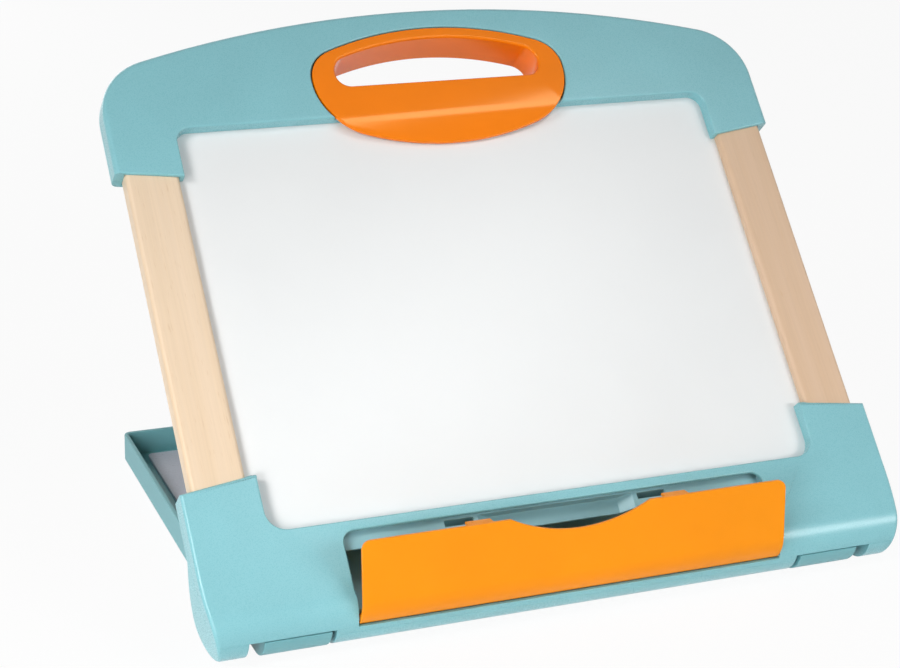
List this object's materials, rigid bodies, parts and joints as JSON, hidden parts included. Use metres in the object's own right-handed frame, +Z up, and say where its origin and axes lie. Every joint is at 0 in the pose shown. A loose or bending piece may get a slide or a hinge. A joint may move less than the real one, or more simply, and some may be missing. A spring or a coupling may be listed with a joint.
{
  "type": "tabletop easel",
  "caption": "Folding tabletop easel: a wipe-clean board with wooden rails on a shallow base tray, with a clip handle, a marker compartment and a folding prop.",
  "frame": {"origin": "on the surface the easel stands on, at the middle of the flat underside of the tray", "axes": "+Z up, +Y from the hinge towards the back of the tray, +X to the right as seen by someone facing the board"},
  "size_m": [0.4, 0.2738, 0.2712],
  "materials": {
    "teal_casing": "smooth moulded",
    "teal_tray": "smooth moulded, darker inside",
    "orange_door": "smooth moulded",
    "orange_clip": "glossy moulded",
    "blue_grey_bin": "satin moulded",
    "pale_wood": "clear-coated, rounded edges",
    "white_board": "dry-wipe laminate",
    "backing_board": "hardboard",
    "grey_board": "matt sheet",
    "steel": "bright drawn wire and screws",
    "zinc_plate": "plated strip",
    "rubber": "matt"
  },
  "bodies": {
    "tray": {"base_tray": "teal_tray", "base_pads": "rubber", "tray_floor_panel": "grey_board", "prop_racks": "teal_tray", "rack_screws": "steel"},
    "board": {"hinge_pins": "steel", "bottom_casing_front": "teal_casing", "bottom_casing_back": "teal_casing", "marker_bin": "blue_grey_bin", "left_rail": "pale_wood", "right_rail": "pale_wood", "writing_panel": "white_board", "backing_panel": "backing_board", "top_cap_front": "teal_casing", "top_cap_back": "teal_casing", "clip_pin": "steel", "casing_screws": "steel", "cap_screws": "steel", "rail_screws": "steel", "prop_brackets": "zinc_plate", "prop_pins": "steel", "bracket_screws": "steel"},
    "door": {"door_panel": "orange_door", "door_hinge_rod": "steel"},
    "clip": {"clip_handle": "orange_clip", "clip_springs": "steel"},
    "prop": {"prop_frame": "zinc_plate", "prop_foot_rod": "steel", "prop_foot_sleeves": "rubber"}
  },
  "joints": [
    {"name": "board_tilt", "type": "hinge", "parent": "tray", "child": "board", "pos_m": [0, -0.132, 0.0185], "axis": [1, 0, 0], "range_deg": [-45, 0]},
    {"name": "door_swing", "type": "hinge", "parent": "board", "child": "door", "pos_m": [0, -0.1476, 0.01823], "axis": [1, 0, 0], "range_deg": [-39, 51]},
    {"name": "clip_press", "type": "hinge", "parent": "board", "child": "clip", "pos_m": [0, 0.06245, 0.22568], "axis": [1, 0, 0], "range_deg": [-6.5, 0], "stiffness_Nm_per_rad": 0.6, "springref_deg": 4.58},
    {"name": "prop_swing", "type": "hinge", "parent": "board", "child": "prop", "pos_m": [0, -0.05478, 0.09685], "axis": [1, 0, 0], "range_deg": [0, 86.6]}
  ],
  "couplings": [
    {"joint": "prop_swing", "follows": "board_tilt", "ratio": -1.9196}
  ]
}
